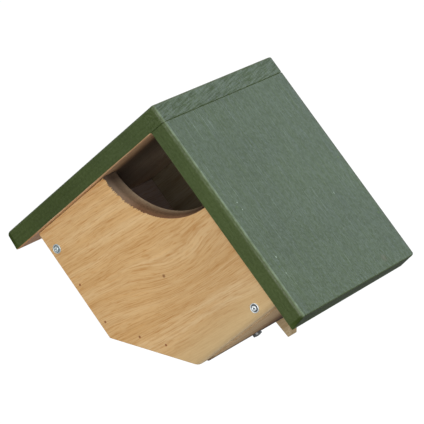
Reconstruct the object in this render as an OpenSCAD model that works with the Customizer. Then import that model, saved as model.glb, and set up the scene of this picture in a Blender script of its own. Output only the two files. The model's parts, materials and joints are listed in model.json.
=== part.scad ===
// Open-fronted nest box under a gable roof, hung on a wall by its back board.
// The right side wall is a door: it swings out on two screws for cleaning.
// The wall is the plane y = 0 and the box faces -Y. The origin is the middle of
// the upper fixing hole, on the back face. All sizes are in millimetres.

/* [Roof] */
// Thickness of the roof boards
roof_t = 15; // [10:0.5:22]
// Length of each slope from the ridge to the eave, along the underside
roof_run = 172.5; // [150:0.5:200]
// Depth of the roof, from the wall to its front edge
roof_depth = 154; // [120:1:200]
// Slope of the roof from level, in degrees
roof_pitch = 44; // [40:0.5:48]
// How far the roof stands out over the front panel
roof_overhang = 6; // [3:0.5:20]

/* [Front panel] */
// Thickness of the front panel
panel_t = 12; // [9:0.5:18]
// Half of the panel's width, at its side corners under the roof
panel_half_w = 108.5; // [95:0.5:120]
// Half of the panel's level bottom edge
foot_half_w = 40; // [25:0.5:60]
// Drop from the ridge underside to the panel's bottom edge
panel_drop = 173; // [150:0.5:190]
// Radius of the round entrance at the panel's face, centred on the ridge underside
entrance_r = 64.5; // [40:0.5:75]
// How much smaller the entrance's radius is at the panel's rear face
entrance_lean = 2; // [0:0.5:4]

/* [Back board] */
// Thickness of the back board
back_t = 12; // [9:0.5:18]
// Distance of each foot's upright side from the middle of the box
back_foot_x = 33; // [28:0.5:38]
// Drop from the ridge underside to the tips of the feet
back_drop = 200; // [185:0.5:230]
// Diameter of the fixing holes
fixing_d = 5; // [4:0.5:8]
// Drop from the ridge underside to the upper fixing hole
fixing_drop = 45; // [25:0.5:55]
// Distance of each lower fixing hole from its foot's upright side
foot_fixing_inset = 9; // [7:0.5:12]
// Height of each lower fixing hole over its foot's tip
foot_fixing_rise = 19; // [17:0.5:21]

/* [Walls and floor] */
// Thickness of the left wall and of the door
wall_t = 12; // [12:0.5:18]
// How far the walls stand out past the edge of the front panel
wall_proud = 1; // [0.5:0.5:3]
// Thickness of the floor
floor_t = 15; // [12:0.5:18]
// Height of the floor's underside over the panel's bottom edge
floor_recess = 5; // [3.5:0.5:6]

// Distance of the left wall's screws from the edge of the front panel
left_screw_inset = 8.4; // [5:0.1:8.5]
// Distance of the left wall's screws from the roof underside
left_screw_drop = 18.4; // [17.5:0.1:30]

/* [Door] */
// Gap between the top of the door and the roof underside
door_top_gap = 3; // [2.5:0.1:5]
// Gap at each end of the door
door_end_gap = 0.4; // [0.2:0.1:1]
// Gap between the door and the edge of the floor
door_floor_gap = 0.5; // [0.3:0.1:2]
// Distance of the pivot from the edge of the front panel
pivot_inset = 7.5; // [5:0.1:8]
// Distance of the pivot from the roof underside
pivot_drop = 20.1; // [17.5:0.1:30]
// Height of the lock screw over the door's lower edge, along its outer face
lock_rise = 2.5; // [2:0.1:4]
// Depth that the lock screw reaches into the floor
lock_bite = 3; // [2:0.1:4]

/* [Screws] */
// Diameter of the screw shanks
screw_d = 3.5; // [3:0.1:4]
// Diameter of the pan heads
head_d = 7.5; // [6:0.1:8]
// Height of the pan heads
head_h = 2.6; // [2:0.1:3]
// Width across the flat top of a pan head
head_top_d = 4.6; // [4:0.1:5.5]
// Length of each arm of the cross recess, end to end
recess_l = 3.8; // [3:0.1:4.4]
// Width of the cross recess
recess_w = 0.9; // [0.6:0.1:1.2]
// Depth of the cross recess
recess_depth = 1.4; // [1:0.1:1.8]
// Length of a screw's point
point_l = 3; // [2:0.1:5]
// Depth that the wall screws reach into a wall
screw_bite = 16; // [10:0.5:25]
// Depth of the seat that hides a rear screw head in the back board
head_sink = 3.2; // [3:0.1:5]

/* [Brads] */
// Diameter of a brad
brad_d = 1.4; // [1:0.1:2]
// Diameter of a brad's head
brad_head_d = 2; // [1.6:0.1:3]
// Height of a brad's head
brad_head_h = 0.8; // [0.5:0.1:1.5]
// Length of a brad
brad_l = 30; // [25:1:40]
// Distance of the upper roof brads past the entrance, along the roof
entrance_to_brad = 14.5; // [10:0.5:25]
// Distance of the lower roof brads from the panel's side corner, along the roof
corner_to_brad = 20; // [12:0.5:30]
// Number of brads through the ridge lap
ridge_brads_n = 3; // [2:1:5]
// Distance of the end ridge brads from the front and rear edges
ridge_brad_end = 24; // [12:1:40]
// Distance of the wall brads from the edge of the front panel
wall_brad_inset = 6.5; // [3:0.5:8]
// Distance of the lower wall brads from the panel's bottom corner
wall_brad_low = 12; // [8:1:20]
// Distance of the upper wall brads from the panel's bottom corner
wall_brad_high = 46; // [30:1:60]
// Distance of the floor brads from the middle of the box
floor_brad_x = 12; // [6:1:30]
// Height of the floor brads over the floor's underside
floor_brad_rise = 4.5; // [4:0.5:9]

/* [Clearances] */
// Radial clearance of a screw in its hole
screw_clear = 0.06; // [0.02:0.01:0.1]
// Radial clearance of the lock screw in the floor
lock_clear = 0.65; // [0.5:0.05:1]
// Radial clearance of a rear screw head in its seat
sink_clear = 0.5; // [0.3:0.1:1]
// Radial clearance of a brad in its hole
brad_clear = 0.03; // [0.01:0.01:0.1]

/* [Hidden] */
$fn = 64;
cut_over = 1;
paint_colour = [0.36, 0.43, 0.29];
wood_colour = [0.78, 0.65, 0.44];
shade_colour = [0.62, 0.49, 0.35];
zinc_colour = [0.78, 0.78, 0.76];
brad_colour = [0.45, 0.33, 0.26];

// Outlines are drawn as [x, z] with the ridge underside at [0, 0].
ridge_z = fixing_drop;
roof_front_y = -roof_depth;
panel_front_y = roof_front_y + roof_overhang;
panel_rear_y = panel_front_y + panel_t;
panel_mid_y = panel_front_y + panel_t / 2;
back_front_y = -back_t;
back_mid_y = -back_t / 2;
inner_depth = back_front_y - panel_rear_y;
inner_mid_y = (back_front_y + panel_rear_y) / 2;

// Right slope: its downhill direction and its outward normal
downhill = [cos(roof_pitch), -sin(roof_pitch)];
roof_out = [sin(roof_pitch), cos(roof_pitch)];
// Length of the ridge lap, where the left underside runs on to the right top face
ridge_lap = roof_t / sin(2 * roof_pitch);
lap_end = ridge_lap * [cos(roof_pitch), sin(roof_pitch)];
ridge_top = [0, roof_t / cos(roof_pitch)];
eave_inner = roof_run * downhill;
eave_outer = eave_inner + roof_t * roof_out;

// Lower right edge of the front panel: its uphill direction and its outward normal
side_corner = [panel_half_w, -panel_half_w * tan(roof_pitch)];
foot_corner = [foot_half_w, -panel_drop];
side_rise = side_corner.y - foot_corner.y;
side_angle = atan2(side_rise, side_corner.x - foot_corner.x);
uphill = [cos(side_angle), sin(side_angle)];
side_out = [sin(side_angle), -cos(side_angle)];
wall_inner = wall_proud - wall_t;

fixing_r = fixing_d / 2;
screw_r = screw_d / 2;
screw_hole_r = screw_r + screw_clear;
head_r = head_d / 2;
lock_hole_r = screw_r + lock_clear;
sink_r = head_r + sink_clear;
brad_r = brad_d / 2;
brad_head_r = brad_head_d / 2;

front_screw_l = panel_t + door_end_gap + screw_bite;
rear_screw_l = back_t - head_sink + door_end_gap + screw_bite;
lock_screw_l = wall_t + door_floor_gap + lock_bite;
door_l = inner_depth - 2 * door_end_gap;
floor_rise = floor_recess + floor_t;

// Point that lies out from the panel's lower right edge and along it from the foot
function side_point(out, along) = foot_corner + out * side_out + along * uphill;
// Along-edge place where a line at this distance meets the level of the foot
function level_cut(out) = out / tan(side_angle);
// Along-edge place where a line at this distance is a gap short of the roof
function roof_cut(out, gap) =
    (-gap - roof_out * foot_corner - out * (roof_out * side_out)) / (roof_out * uphill);
// Half width between two such lines, at a height over the foot
function side_x(out, rise) = foot_half_w + rise / tan(side_angle) + out / sin(side_angle);
function flip(p) = [-p.x, p.y];

pivot = side_point(-pivot_inset, roof_cut(-pivot_inset, pivot_drop));
left_screw = flip(side_point(-left_screw_inset, roof_cut(-left_screw_inset, left_screw_drop)));
lock_seat = side_point(wall_proud, level_cut(wall_proud) + lock_rise);
roof_brad_at = [entrance_r + entrance_to_brad, panel_half_w / cos(roof_pitch) - corner_to_brad];
wall_brad_at = [for (along = [wall_brad_low, wall_brad_high]) side_point(-wall_brad_inset, along)];
floor_brad_at = [for (x = [-floor_brad_x, floor_brad_x]) [x, -panel_drop + floor_recess + floor_brad_rise]];
ridge_brad_step = (roof_depth - 2 * ridge_brad_end) / (ridge_brads_n - 1);
ridge_brad_ys = [for (i = [0 : ridge_brads_n - 1]) roof_front_y + ridge_brad_end + i * ridge_brad_step];

// Stands an [x, z] outline up and gives it a depth in front of a rear plane
module board(rear_y, depth) {
    translate([0, rear_y, ridge_z])
        rotate([90, 0, 0])
            linear_extrude(height = depth)
                children();
}

// Puts a piece on a plane of constant y, with its head to the front or to the rear
module at_front(p, y) {
    translate([p.x, y, ridge_z + p.y])
        rotate([90, 0, 0])
            children();
}

module at_rear(p, y) {
    translate([p.x, y, ridge_z + p.y])
        rotate([-90, 0, 0])
            children();
}

// Puts a piece on the right roof board's top face, square to it
module at_roof(along, y) {
    p = along * downhill + roof_t * roof_out;
    translate([p.x, y, ridge_z + p.y])
        rotate([0, roof_pitch, 0])
            children();
}

// Puts a piece on the left roof board over the end of the right one
module at_ridge(y) {
    p = lap_end / 2 + roof_t * flip(roof_out);
    translate([p.x, y, ridge_z + p.y])
        rotate([0, -roof_pitch, 0])
            children();
}

// Puts the lock screw square to the door's outer face
module at_lock() {
    translate([lock_seat.x, inner_mid_y, ridge_z + lock_seat.y])
        rotate([0, 180 - side_angle, 0])
            children();
}

module on_left() {
    mirror([1, 0, 0])
        children();
}

// Pan-head screw: the underside of its head is at z = 0 and it points down
module pan_screw(shank_l) {
    difference() {
        union() {
            cylinder(h = head_h / 2, r = head_r);
            translate([0, 0, head_h / 2])
                cylinder(h = head_h / 2, r1 = head_r, r2 = head_top_d / 2);
        }
        for (turn = [0, 90])
            rotate([0, 0, turn])
                translate([-recess_l / 2, -recess_w / 2, head_h - recess_depth])
                    cube([recess_l, recess_w, recess_depth + cut_over]);
    }
    translate([0, 0, point_l - shank_l])
        cylinder(h = shank_l - point_l, r = screw_r);
    translate([0, 0, -shank_l])
        cylinder(h = point_l, r1 = screw_r / 3, r2 = screw_r);
}

// Straight hole below z = 0 that opens a little above it
module hole(r, depth) {
    translate([0, 0, -depth])
        cylinder(h = depth + cut_over, r = r);
}

// Brad with the top of its head at z = 0, and the hole that it makes
module brad() {
    translate([0, 0, -brad_head_h])
        cylinder(h = brad_head_h, r = brad_head_r);
    translate([0, 0, -brad_l])
        cylinder(h = brad_l - brad_head_h, r = brad_r);
}

module brad_hole() {
    hole(brad_head_r + brad_clear, brad_head_h);
    hole(brad_r + brad_clear, brad_l + brad_clear);
}

module roof_brad_holes() {
    for (along = roof_brad_at)
        for (y = [panel_mid_y, back_mid_y])
            at_roof(along, y)
                brad_hole();
}

module ridge_brad_holes() {
    for (y = ridge_brad_ys)
        at_ridge(y)
            brad_hole();
}

// Holes of the left wall's brads, of the floor's brads and of the wall screws
module front_fastener_holes() {
    for (p = wall_brad_at)
        at_front(flip(p), panel_front_y)
            brad_hole();
    for (p = floor_brad_at)
        at_front(p, panel_front_y)
            brad_hole();
    for (p = [pivot, left_screw])
        at_front(p, panel_front_y)
            hole(screw_hole_r, front_screw_l);
}

module rear_fastener_holes() {
    for (p = wall_brad_at)
        at_rear(flip(p), 0)
            brad_hole();
    for (p = floor_brad_at)
        at_rear(p, 0)
            brad_hole();
    for (p = [pivot, left_screw])
        at_rear(p, -head_sink)
            hole(screw_hole_r, rear_screw_l);
}

// Outline of a side wall that stops a gap short of the roof
module wall_outline(gap) {
    polygon([
        side_point(wall_proud, level_cut(wall_proud)),
        side_point(wall_proud, roof_cut(wall_proud, gap)),
        side_point(wall_inner, roof_cut(wall_inner, gap)),
        side_point(wall_inner, level_cut(wall_inner))
    ]);
}

module left_roof_board() {
    color(paint_colour)
        difference() {
            board(0, roof_depth)
                polygon([lap_end, ridge_top, flip(eave_outer), flip(eave_inner)]);
            on_left()
                roof_brad_holes();
            ridge_brad_holes();
        }
}

module right_roof_board() {
    color(paint_colour)
        difference() {
            board(0, roof_depth)
                polygon([[0, 0], lap_end, eave_outer, eave_inner]);
            roof_brad_holes();
            ridge_brad_holes();
        }
}

// Cut of a saw that leans: it narrows evenly from the panel's face to its rear
module entrance_cut() {
    over_r = entrance_lean / panel_t * cut_over;
    translate([0, 0, -panel_t - cut_over])
        cylinder(h = panel_t + 2 * cut_over, r1 = entrance_r - entrance_lean - over_r, r2 = entrance_r + over_r);
}

module front_panel() {
    color(wood_colour)
        difference() {
            board(panel_rear_y, panel_t)
                polygon([[0, 0], side_corner, foot_corner, flip(foot_corner), flip(side_corner)]);
            at_front([0, 0], panel_front_y)
                entrance_cut();
            front_fastener_holes();
            roof_brad_holes();
            on_left()
                roof_brad_holes();
        }
}

module back_board() {
    foot_top = [back_foot_x, -panel_drop - (foot_half_w - back_foot_x) * tan(side_angle)];
    foot_tip = [back_foot_x, -back_drop];
    foot_fixing = foot_tip + [-foot_fixing_inset, foot_fixing_rise];
    color(wood_colour)
        difference() {
            board(0, back_t)
                polygon([
                    [0, 0], side_corner, foot_top, foot_tip, [0, -panel_drop],
                    flip(foot_tip), flip(foot_top), flip(side_corner)
                ]);
            for (p = [[0, -fixing_drop], foot_fixing, flip(foot_fixing)])
                at_rear(p, 0)
                    hole(fixing_r, back_t + cut_over);
            for (p = [pivot, left_screw])
                at_rear(p, 0)
                    hole(sink_r, head_sink);
            rear_fastener_holes();
            roof_brad_holes();
            on_left()
                roof_brad_holes();
        }
}

module left_wall() {
    color(shade_colour)
        difference() {
            on_left()
                board(back_front_y, inner_depth)
                    wall_outline(0);
            front_fastener_holes();
            rear_fastener_holes();
        }
}

module door_wall() {
    color(shade_colour)
        difference() {
            board(back_front_y - door_end_gap, door_l)
                wall_outline(door_top_gap);
            at_front(pivot, panel_front_y)
                hole(screw_hole_r, front_screw_l + door_end_gap);
            at_rear(pivot, -head_sink)
                hole(screw_hole_r, rear_screw_l + door_end_gap);
            at_lock()
                hole(screw_hole_r, wall_t + cut_over);
        }
}

module floor_board() {
    door_side = wall_inner - door_floor_gap;
    color(shade_colour)
        difference() {
            board(back_front_y, inner_depth)
                polygon([
                    [side_x(door_side, floor_recess), floor_recess - panel_drop],
                    [side_x(door_side, floor_rise), floor_rise - panel_drop],
                    [-side_x(wall_inner, floor_rise), floor_rise - panel_drop],
                    [-side_x(wall_inner, floor_recess), floor_recess - panel_drop]
                ]);
            front_fastener_holes();
            rear_fastener_holes();
            at_lock()
                hole(lock_hole_r, lock_screw_l + cut_over);
        }
}

module front_left_screw() {
    color(zinc_colour)
        at_front(left_screw, panel_front_y)
            pan_screw(front_screw_l);
}

module rear_left_screw() {
    color(zinc_colour)
        at_rear(left_screw, -head_sink)
            pan_screw(rear_screw_l);
}

module front_pivot_screw() {
    color(zinc_colour)
        at_front(pivot, panel_front_y)
            pan_screw(front_screw_l);
}

module rear_pivot_screw() {
    color(zinc_colour)
        at_rear(pivot, -head_sink)
            pan_screw(rear_screw_l);
}

module lock_screw() {
    color(zinc_colour)
        at_lock()
            pan_screw(lock_screw_l);
}

// Row of brads through the right roof board at one depth
module roof_brads(y) {
    color(brad_colour)
        for (along = roof_brad_at)
            at_roof(along, y)
                brad();
}

module left_roof_front_brads() {
    on_left()
        roof_brads(panel_mid_y);
}

module left_roof_rear_brads() {
    on_left()
        roof_brads(back_mid_y);
}

module right_roof_front_brads() {
    roof_brads(panel_mid_y);
}

module right_roof_rear_brads() {
    roof_brads(back_mid_y);
}

module ridge_brads() {
    color(brad_colour)
        for (y = ridge_brad_ys)
            at_ridge(y)
                brad();
}

module left_wall_front_brads() {
    color(brad_colour)
        for (p = wall_brad_at)
            at_front(flip(p), panel_front_y)
                brad();
}

module left_wall_rear_brads() {
    color(brad_colour)
        for (p = wall_brad_at)
            at_rear(flip(p), 0)
                brad();
}

module floor_front_brads() {
    color(brad_colour)
        for (p = floor_brad_at)
            at_front(p, panel_front_y)
                brad();
}

module floor_rear_brads() {
    color(brad_colour)
        for (p = floor_brad_at)
            at_rear(p, 0)
                brad();
}

left_roof_board();
right_roof_board();
front_panel();
back_board();
left_wall();
door_wall();
floor_board();
front_left_screw();
rear_left_screw();
front_pivot_screw();
rear_pivot_screw();
lock_screw();
left_roof_front_brads();
left_roof_rear_brads();
right_roof_front_brads();
right_roof_rear_brads();
ridge_brads();
left_wall_front_brads();
left_wall_rear_brads();
floor_front_brads();
floor_rear_brads();
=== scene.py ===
import json
import math
from functools import partial

import bpy
import numpy as np
from mathutils import Matrix, Vector
from mathutils.geometry import tessellate_polygon


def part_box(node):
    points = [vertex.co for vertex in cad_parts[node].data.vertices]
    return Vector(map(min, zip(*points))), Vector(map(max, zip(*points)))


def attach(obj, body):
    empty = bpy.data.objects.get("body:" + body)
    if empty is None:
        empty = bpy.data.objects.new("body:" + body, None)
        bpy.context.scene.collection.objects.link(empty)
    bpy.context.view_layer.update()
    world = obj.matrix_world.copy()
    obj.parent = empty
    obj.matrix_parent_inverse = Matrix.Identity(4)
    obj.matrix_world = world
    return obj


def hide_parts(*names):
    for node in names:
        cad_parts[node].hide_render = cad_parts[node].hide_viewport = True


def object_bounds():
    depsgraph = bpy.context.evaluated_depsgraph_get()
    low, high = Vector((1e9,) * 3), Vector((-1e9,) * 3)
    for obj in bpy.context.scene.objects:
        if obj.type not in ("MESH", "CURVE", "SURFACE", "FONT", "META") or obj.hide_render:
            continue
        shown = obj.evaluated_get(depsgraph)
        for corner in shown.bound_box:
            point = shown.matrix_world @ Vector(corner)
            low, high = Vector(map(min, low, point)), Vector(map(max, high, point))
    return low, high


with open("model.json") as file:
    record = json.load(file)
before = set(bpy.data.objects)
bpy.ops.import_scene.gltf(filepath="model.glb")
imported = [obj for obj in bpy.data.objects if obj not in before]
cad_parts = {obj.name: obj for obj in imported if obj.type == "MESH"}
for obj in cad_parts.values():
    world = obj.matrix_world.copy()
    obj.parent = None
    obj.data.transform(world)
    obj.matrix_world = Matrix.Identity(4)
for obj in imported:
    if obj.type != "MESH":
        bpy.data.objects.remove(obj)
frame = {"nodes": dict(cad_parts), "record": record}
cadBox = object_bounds()
print("frame loaded:", len(frame["nodes"]), "nodes")

mm = 0.001  # lengths are written in millimetres
scene = bpy.context.scene

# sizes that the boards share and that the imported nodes' boxes don't give
house = {
    "pitch": 44.0,  # slope of the roof, degrees
    "roofThick": 15.0,
    "entranceRadius": 64.5,  # round cut, centred on the ridge underside
    "entranceLean": 2.0,  # how much smaller the cut is at the rear of the panel
    "footHalfWidth": 40.0,  # half of the front panel's level edge
    "wallThick": 12.0,
    "wallProud": 1.0,  # walls past the panel's edge
    "doorTopGap": 3.0,
}


def nodeSpan(node):
    low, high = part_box(node)
    return np.array(low) / mm, np.array(high) / mm


slope = math.radians(house["pitch"])
cosSlope, sinSlope = math.cos(slope), math.sin(slope)
roofThick = house["roofThick"]
roofLow, roofHigh = nodeSpan("right_roof_board")
panelLow, panelHigh = nodeSpan("front_panel")
backLow, backHigh = nodeSpan("back_board")
roofFront, roofRear = roofLow[1], roofHigh[1]
panelFront, panelRear = panelLow[1], panelHigh[1]
ridge = nodeSpan("left_roof_board")[1][2] - roofThick / cosSlope  # height of the ridge underside
roofRun = (ridge - roofLow[2]) / sinSlope
lapLength = roofThick / math.sin(2 * slope)  # how far the left roof board laps past the ridge line
downRight = np.array([cosSlope, -sinSlope])
outRight = np.array([sinSlope, cosSlope])
flip = np.array([-1.0, 1.0])
apex = np.array([0.0, ridge])

# the panel's right edge, which the door lies along
sideCorner = np.array([panelHigh[0], ridge - panelHigh[0] * math.tan(slope)])
footCorner = np.array([house["footHalfWidth"], panelLow[2]])
edgeUp = (sideCorner - footCorner) / np.linalg.norm(sideCorner - footCorner)
edgeOut = np.array([edgeUp[1], -edgeUp[0]])
panelEdge = float(footCorner @ edgeOut)  # how far out it lies

sharpAngle = math.radians(38)  # edges of turned pieces that bend more than this stay sharp
leastRadius = 0.02  # of a rounded corner that is drawn in


def addObject(name, data):
    thing = bpy.data.objects.new(name, data)
    scene.collection.objects.link(thing)
    return thing


def meshPiece(name, points, faces, material, body="box", nodes=(), normals=None):
    mesh = bpy.data.meshes.new(name)
    mesh.from_pydata((np.asarray(points) * mm).tolist(), [], faces)
    mesh.validate()
    mesh.shade_smooth()
    if normals is None:
        mesh.set_sharp_from_angle(angle=sharpAngle)
    else:
        mesh.normals_split_custom_set_from_vertices(np.asarray(normals).tolist())
    mesh.materials.append(material)
    piece = addObject(name, mesh)
    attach(piece, body)
    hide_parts(*nodes)


# the corners of an outline: each side moves in by its share of the inset, the corner goes to where the moved
# sides cross, and the normal turns from the side before to the side after on an arc of the corner's radius
def cornerArcs(corners, before, after, radii, inset, shares=1.0, steps=7):
    shares = np.broadcast_to(np.asarray(shares, float), len(corners))
    into, onto = inset * np.roll(shares, 1)[:, None], inset * shares[:, None]
    cosine = (before * after).sum(1, keepdims=True)
    mitre = (before + after) / (1 + cosine)
    crossing = (into * (before - cosine * after) + onto * (after - cosine * before)) / (1 - cosine ** 2)
    turn = np.arctan2(before[:, 0] * after[:, 1] - before[:, 1] * after[:, 0], cosine[:, 0])
    bend = np.sign(turn)
    reach = np.maximum(radii - bend * (into + onto)[:, 0] / 2, leastRadius) * bend
    centre = corners - crossing - reach[:, None] * mitre
    angle = np.arctan2(before[:, 1], before[:, 0])[:, None] + turn[:, None] * np.linspace(0, 1, steps)
    normal = np.stack([np.cos(angle), np.sin(angle)], -1)
    points = centre[:, None] + reach[:, None, None] * normal
    return points.reshape(-1, 2), normal.reshape(-1, 2)


def sideNormals(corners):
    side = np.roll(corners, -1, 0) - corners
    side /= np.linalg.norm(side, axis=1, keepdims=True)
    after = np.c_[side[:, 1], -side[:, 0]]
    return np.roll(after, 1, 0), after


# straight-sided outline, anticlockwise from the front, as a function of how far it is drawn in;
# the rear end may have its own shares
def straightOutline(corners, radii, shares=1.0, rearShares=None, halfDepth=0.0):
    corners = np.array(corners, float)
    radii = np.broadcast_to(np.array(radii, float), len(corners))
    before, after = sideNormals(corners)
    pick = lambda depth: shares if rearShares is None or depth < halfDepth else rearShares
    return lambda inset, depth: cornerArcs(corners, before, after, radii, inset, pick(depth))


# an outline that turns evenly from one shape at the front into another at the rear
def twistedOutline(front, rear, length):
    def outline(inset, depth):
        ends = zip(front(inset, depth), rear(inset, depth))
        return [a + (b - a) * depth / length for a, b in ends]
    return outline


# round hole: clockwise, with its normal towards its middle
def roundOutline(middle, radius, steps=40):
    angle = -np.linspace(0, 2 * np.pi, steps, endpoint=False)
    normal = -np.c_[np.cos(angle), np.sin(angle)]
    return lambda inset, depth: (np.array(middle) - (radius + inset) * normal, normal)


# an outline carried from front to rear: at each end it draws in on a quarter circle,
# so that the edges are eased
def easedLoop(outline, yFront, yRear, easeFront, easeRear, steps=6):
    phi = np.linspace(0, np.pi / 2, steps)
    inset = np.r_[easeFront * (1 - np.sin(phi)), easeRear * (1 - np.sin(phi[::-1]))]
    depth = np.r_[easeFront * (1 - np.cos(phi)), yRear - yFront - easeRear * (1 - np.cos(phi[::-1]))]
    lean = np.r_[-np.cos(phi), np.cos(phi[::-1])]
    loops = [outline(i, d) for i, d in zip(inset, depth)]
    flat = np.array([loop[0] for loop in loops])
    turned = np.array([loop[1] for loop in loops]) * np.sqrt(1 - lean ** 2)[:, None, None]
    shape = flat.shape[:2]
    rings = np.stack([flat[..., 0], np.broadcast_to((yFront + depth)[:, None], shape), flat[..., 1]], -1)
    normals = np.stack([turned[..., 0], np.broadcast_to(lean[:, None], shape), turned[..., 1]], -1)
    return rings, normals


def ringFaces(rings, count, start):
    i, j = np.meshgrid(np.arange(rings - 1), np.arange(count), indexing="ij")
    k = (j + 1) % count
    quads = np.stack([i * count + j, (i + 1) * count + j, (i + 1) * count + k, i * count + k], -1)
    return (start + quads.reshape(-1, 4)).tolist()


# flat end between an outline and its holes, with every triangle turned to face out and slivers left out
def flatEnd(loops, starts, facing):
    points = np.concatenate(loops)[:, [0, 2]]
    index = np.concatenate([start + np.arange(len(loop)) for loop, start in zip(loops, starts)])
    triangles = np.array(tessellate_polygon([[Vector((p[0], p[2], 0)) for p in loop] for loop in loops]))
    a, b, c = points[triangles[:, 0]], points[triangles[:, 1]], points[triangles[:, 2]]
    area = (b[:, 0] - a[:, 0]) * (c[:, 1] - a[:, 1]) - (b[:, 1] - a[:, 1]) * (c[:, 0] - a[:, 0])
    turned = np.where((area * facing < 0)[:, None], triangles[:, ::-1], triangles)
    return index[turned[np.abs(area) > 1e-9]].tolist()


# board: its outline and its through holes are eased loops, its seats are blind holes from the rear
def easedBoard(name, outline, yFront, yRear, ease, material, body="box", holes=(), seats=()):
    rim = 0.4  # easing of the holes
    loops = [easedLoop(outline, yFront, yRear, *ease)]
    loops += [easedLoop(roundOutline(*hole), yFront, yRear, rim, rim) for hole in holes]
    loops += [easedLoop(roundOutline(*seat[:2]), yRear - seat[2], yRear, rim, rim) for seat in seats]
    counts = [loop[0].shape[1] for loop in loops]
    rows = loops[0][0].shape[0]
    starts = np.cumsum([0] + [rows * count for count in counts])[:-1]
    faces = [face for count, start in zip(counts, starts) for face in ringFaces(rows, count, start)]
    through = 1 + len(holes)
    faces += flatEnd([loop[0][0] for loop in loops[:through]], starts[:through], 1)
    faces += flatEnd([loop[0][-1] for loop in loops], starts + (rows - 1) * np.array(counts), -1)
    seatFloors = zip(counts[through:], starts[through:])
    faces += [(start + np.arange(count)).tolist() for count, start in seatFloors]
    points = np.concatenate([loop[0].reshape(-1, 3) for loop in loops])
    normals = np.concatenate([loop[1].reshape(-1, 3) for loop in loops])
    print("board:", name, len(faces), "faces")
    meshPiece(name, points, faces, material, body, [name], normals)


def toLinear(hexText):
    value = np.array([int(hexText[i:i + 2], 16) for i in (0, 2, 4)]) / 255
    linear = np.where(value <= 0.04045, value / 12.92, ((value + 0.055) / 1.055) ** 2.4)
    return (*linear.tolist(), 1.0)


# links come from sockets, or from the live output of nodes
def connect(node, links):
    for key, source in links.items():
        if isinstance(source, bpy.types.Node):
            source = next(socket for socket in source.outputs if socket.enabled)
        node.id_data.links.new(source, node.inputs[key])


# adds one node: values go on its sockets, where a text is a tone, and stops fill a colour ramp
def addNode(tree, kind, values=None, links=None, stops=(), **settings):
    node = tree.nodes.new("ShaderNode" + kind)
    for key, value in settings.items():
        setattr(node, key, value)
    for key, value in (values or {}).items():
        node.inputs[key].default_value = toLinear(value) if isinstance(value, str) else value
    connect(node, links or {})
    for k, (place, colour) in enumerate(stops):
        bar = node.color_ramp.elements
        stop = bar[k] if k < len(bar) else bar.new(place)
        stop.position = place
        stop.color = toLinear(colour) if isinstance(colour, str) else (colour, colour, colour, 1)
    return node


blend = {"data_type": "RGBA"}  # settings of the nodes that mix two tones
multiply = {"data_type": "RGBA", "blend_type": "MULTIPLY"}


# a material, addNode for its own tree, and its shader
def newMaterial(name):
    material = bpy.data.materials.new(name)
    material.use_nodes = True
    tree = material.node_tree
    return material, partial(addNode, tree), tree.nodes["Principled BSDF"]


# a piece's own coordinates, in millimetres
def ownPlace(add):
    return add("VectorMath", {1: (1 / mm,) * 3}, {0: add("TexCoord").outputs["Object"]}, operation="MULTIPLY")


# lays tones over the first: each grows with a measure, from none of it at its start to its share at its end
def layTones(add, tone, measures, layers):
    for over, measure, start, end, share, way in layers:
        limits = {"From Min": start, "From Max": end, "To Max": share}
        amount = add("MapRange", limits, {"Value": measures[measure]})
        tone = add("Mix", {"B": over}, {"Factor": amount, "A": tone}, **way)
    return tone


# noise that is drawn out along X: one cell is so many millimetres long and wide
def perCell(along, across):
    return 1 / along, 1 / across, 1 / across


# planed softwood, flat sawn: soft bands of early and late wood, fine streaks along the grain and
# short dark fibre ends, which are drawn about twice their real width so that they show
softwood = {
    "band": (170.0, 9.0),  # length and width of each pattern, mm
    "vein": (27.0, 0.85),
    "fibre": (9.0, 0.62),
    "bandStops": (0.3, 0.5, 0.7),
    "lines": {"vein": ((0.32, "EEE2D2"), (0.5, 1.0), (0.68, 1.07)), "fibre": ((0.33, "F2E6D6"), (0.47, 1.0))},
    "wander": ((60.0, 6.0), (16.0, 1.2)),  # size and reach of the slow bends and of the small waves of the grain
    "wanderDeep": 0.3,  # share of that reach through the board
    "fibreRise": 0.6,  # against the rise of the veins
    "bump": {"Strength": 0.35, "Distance": 0.25 * mm},
    "roughness": 0.8,
    "ior": 1.35,  # open grain scatters more than it mirrors
}
freshTones = ("C09762", "C9A370", "D2B182")
innerTones = ("8E7C74", "94827A", "9A8880")  # darker, greyer tones: painted shade for the inner faces of the box
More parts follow.
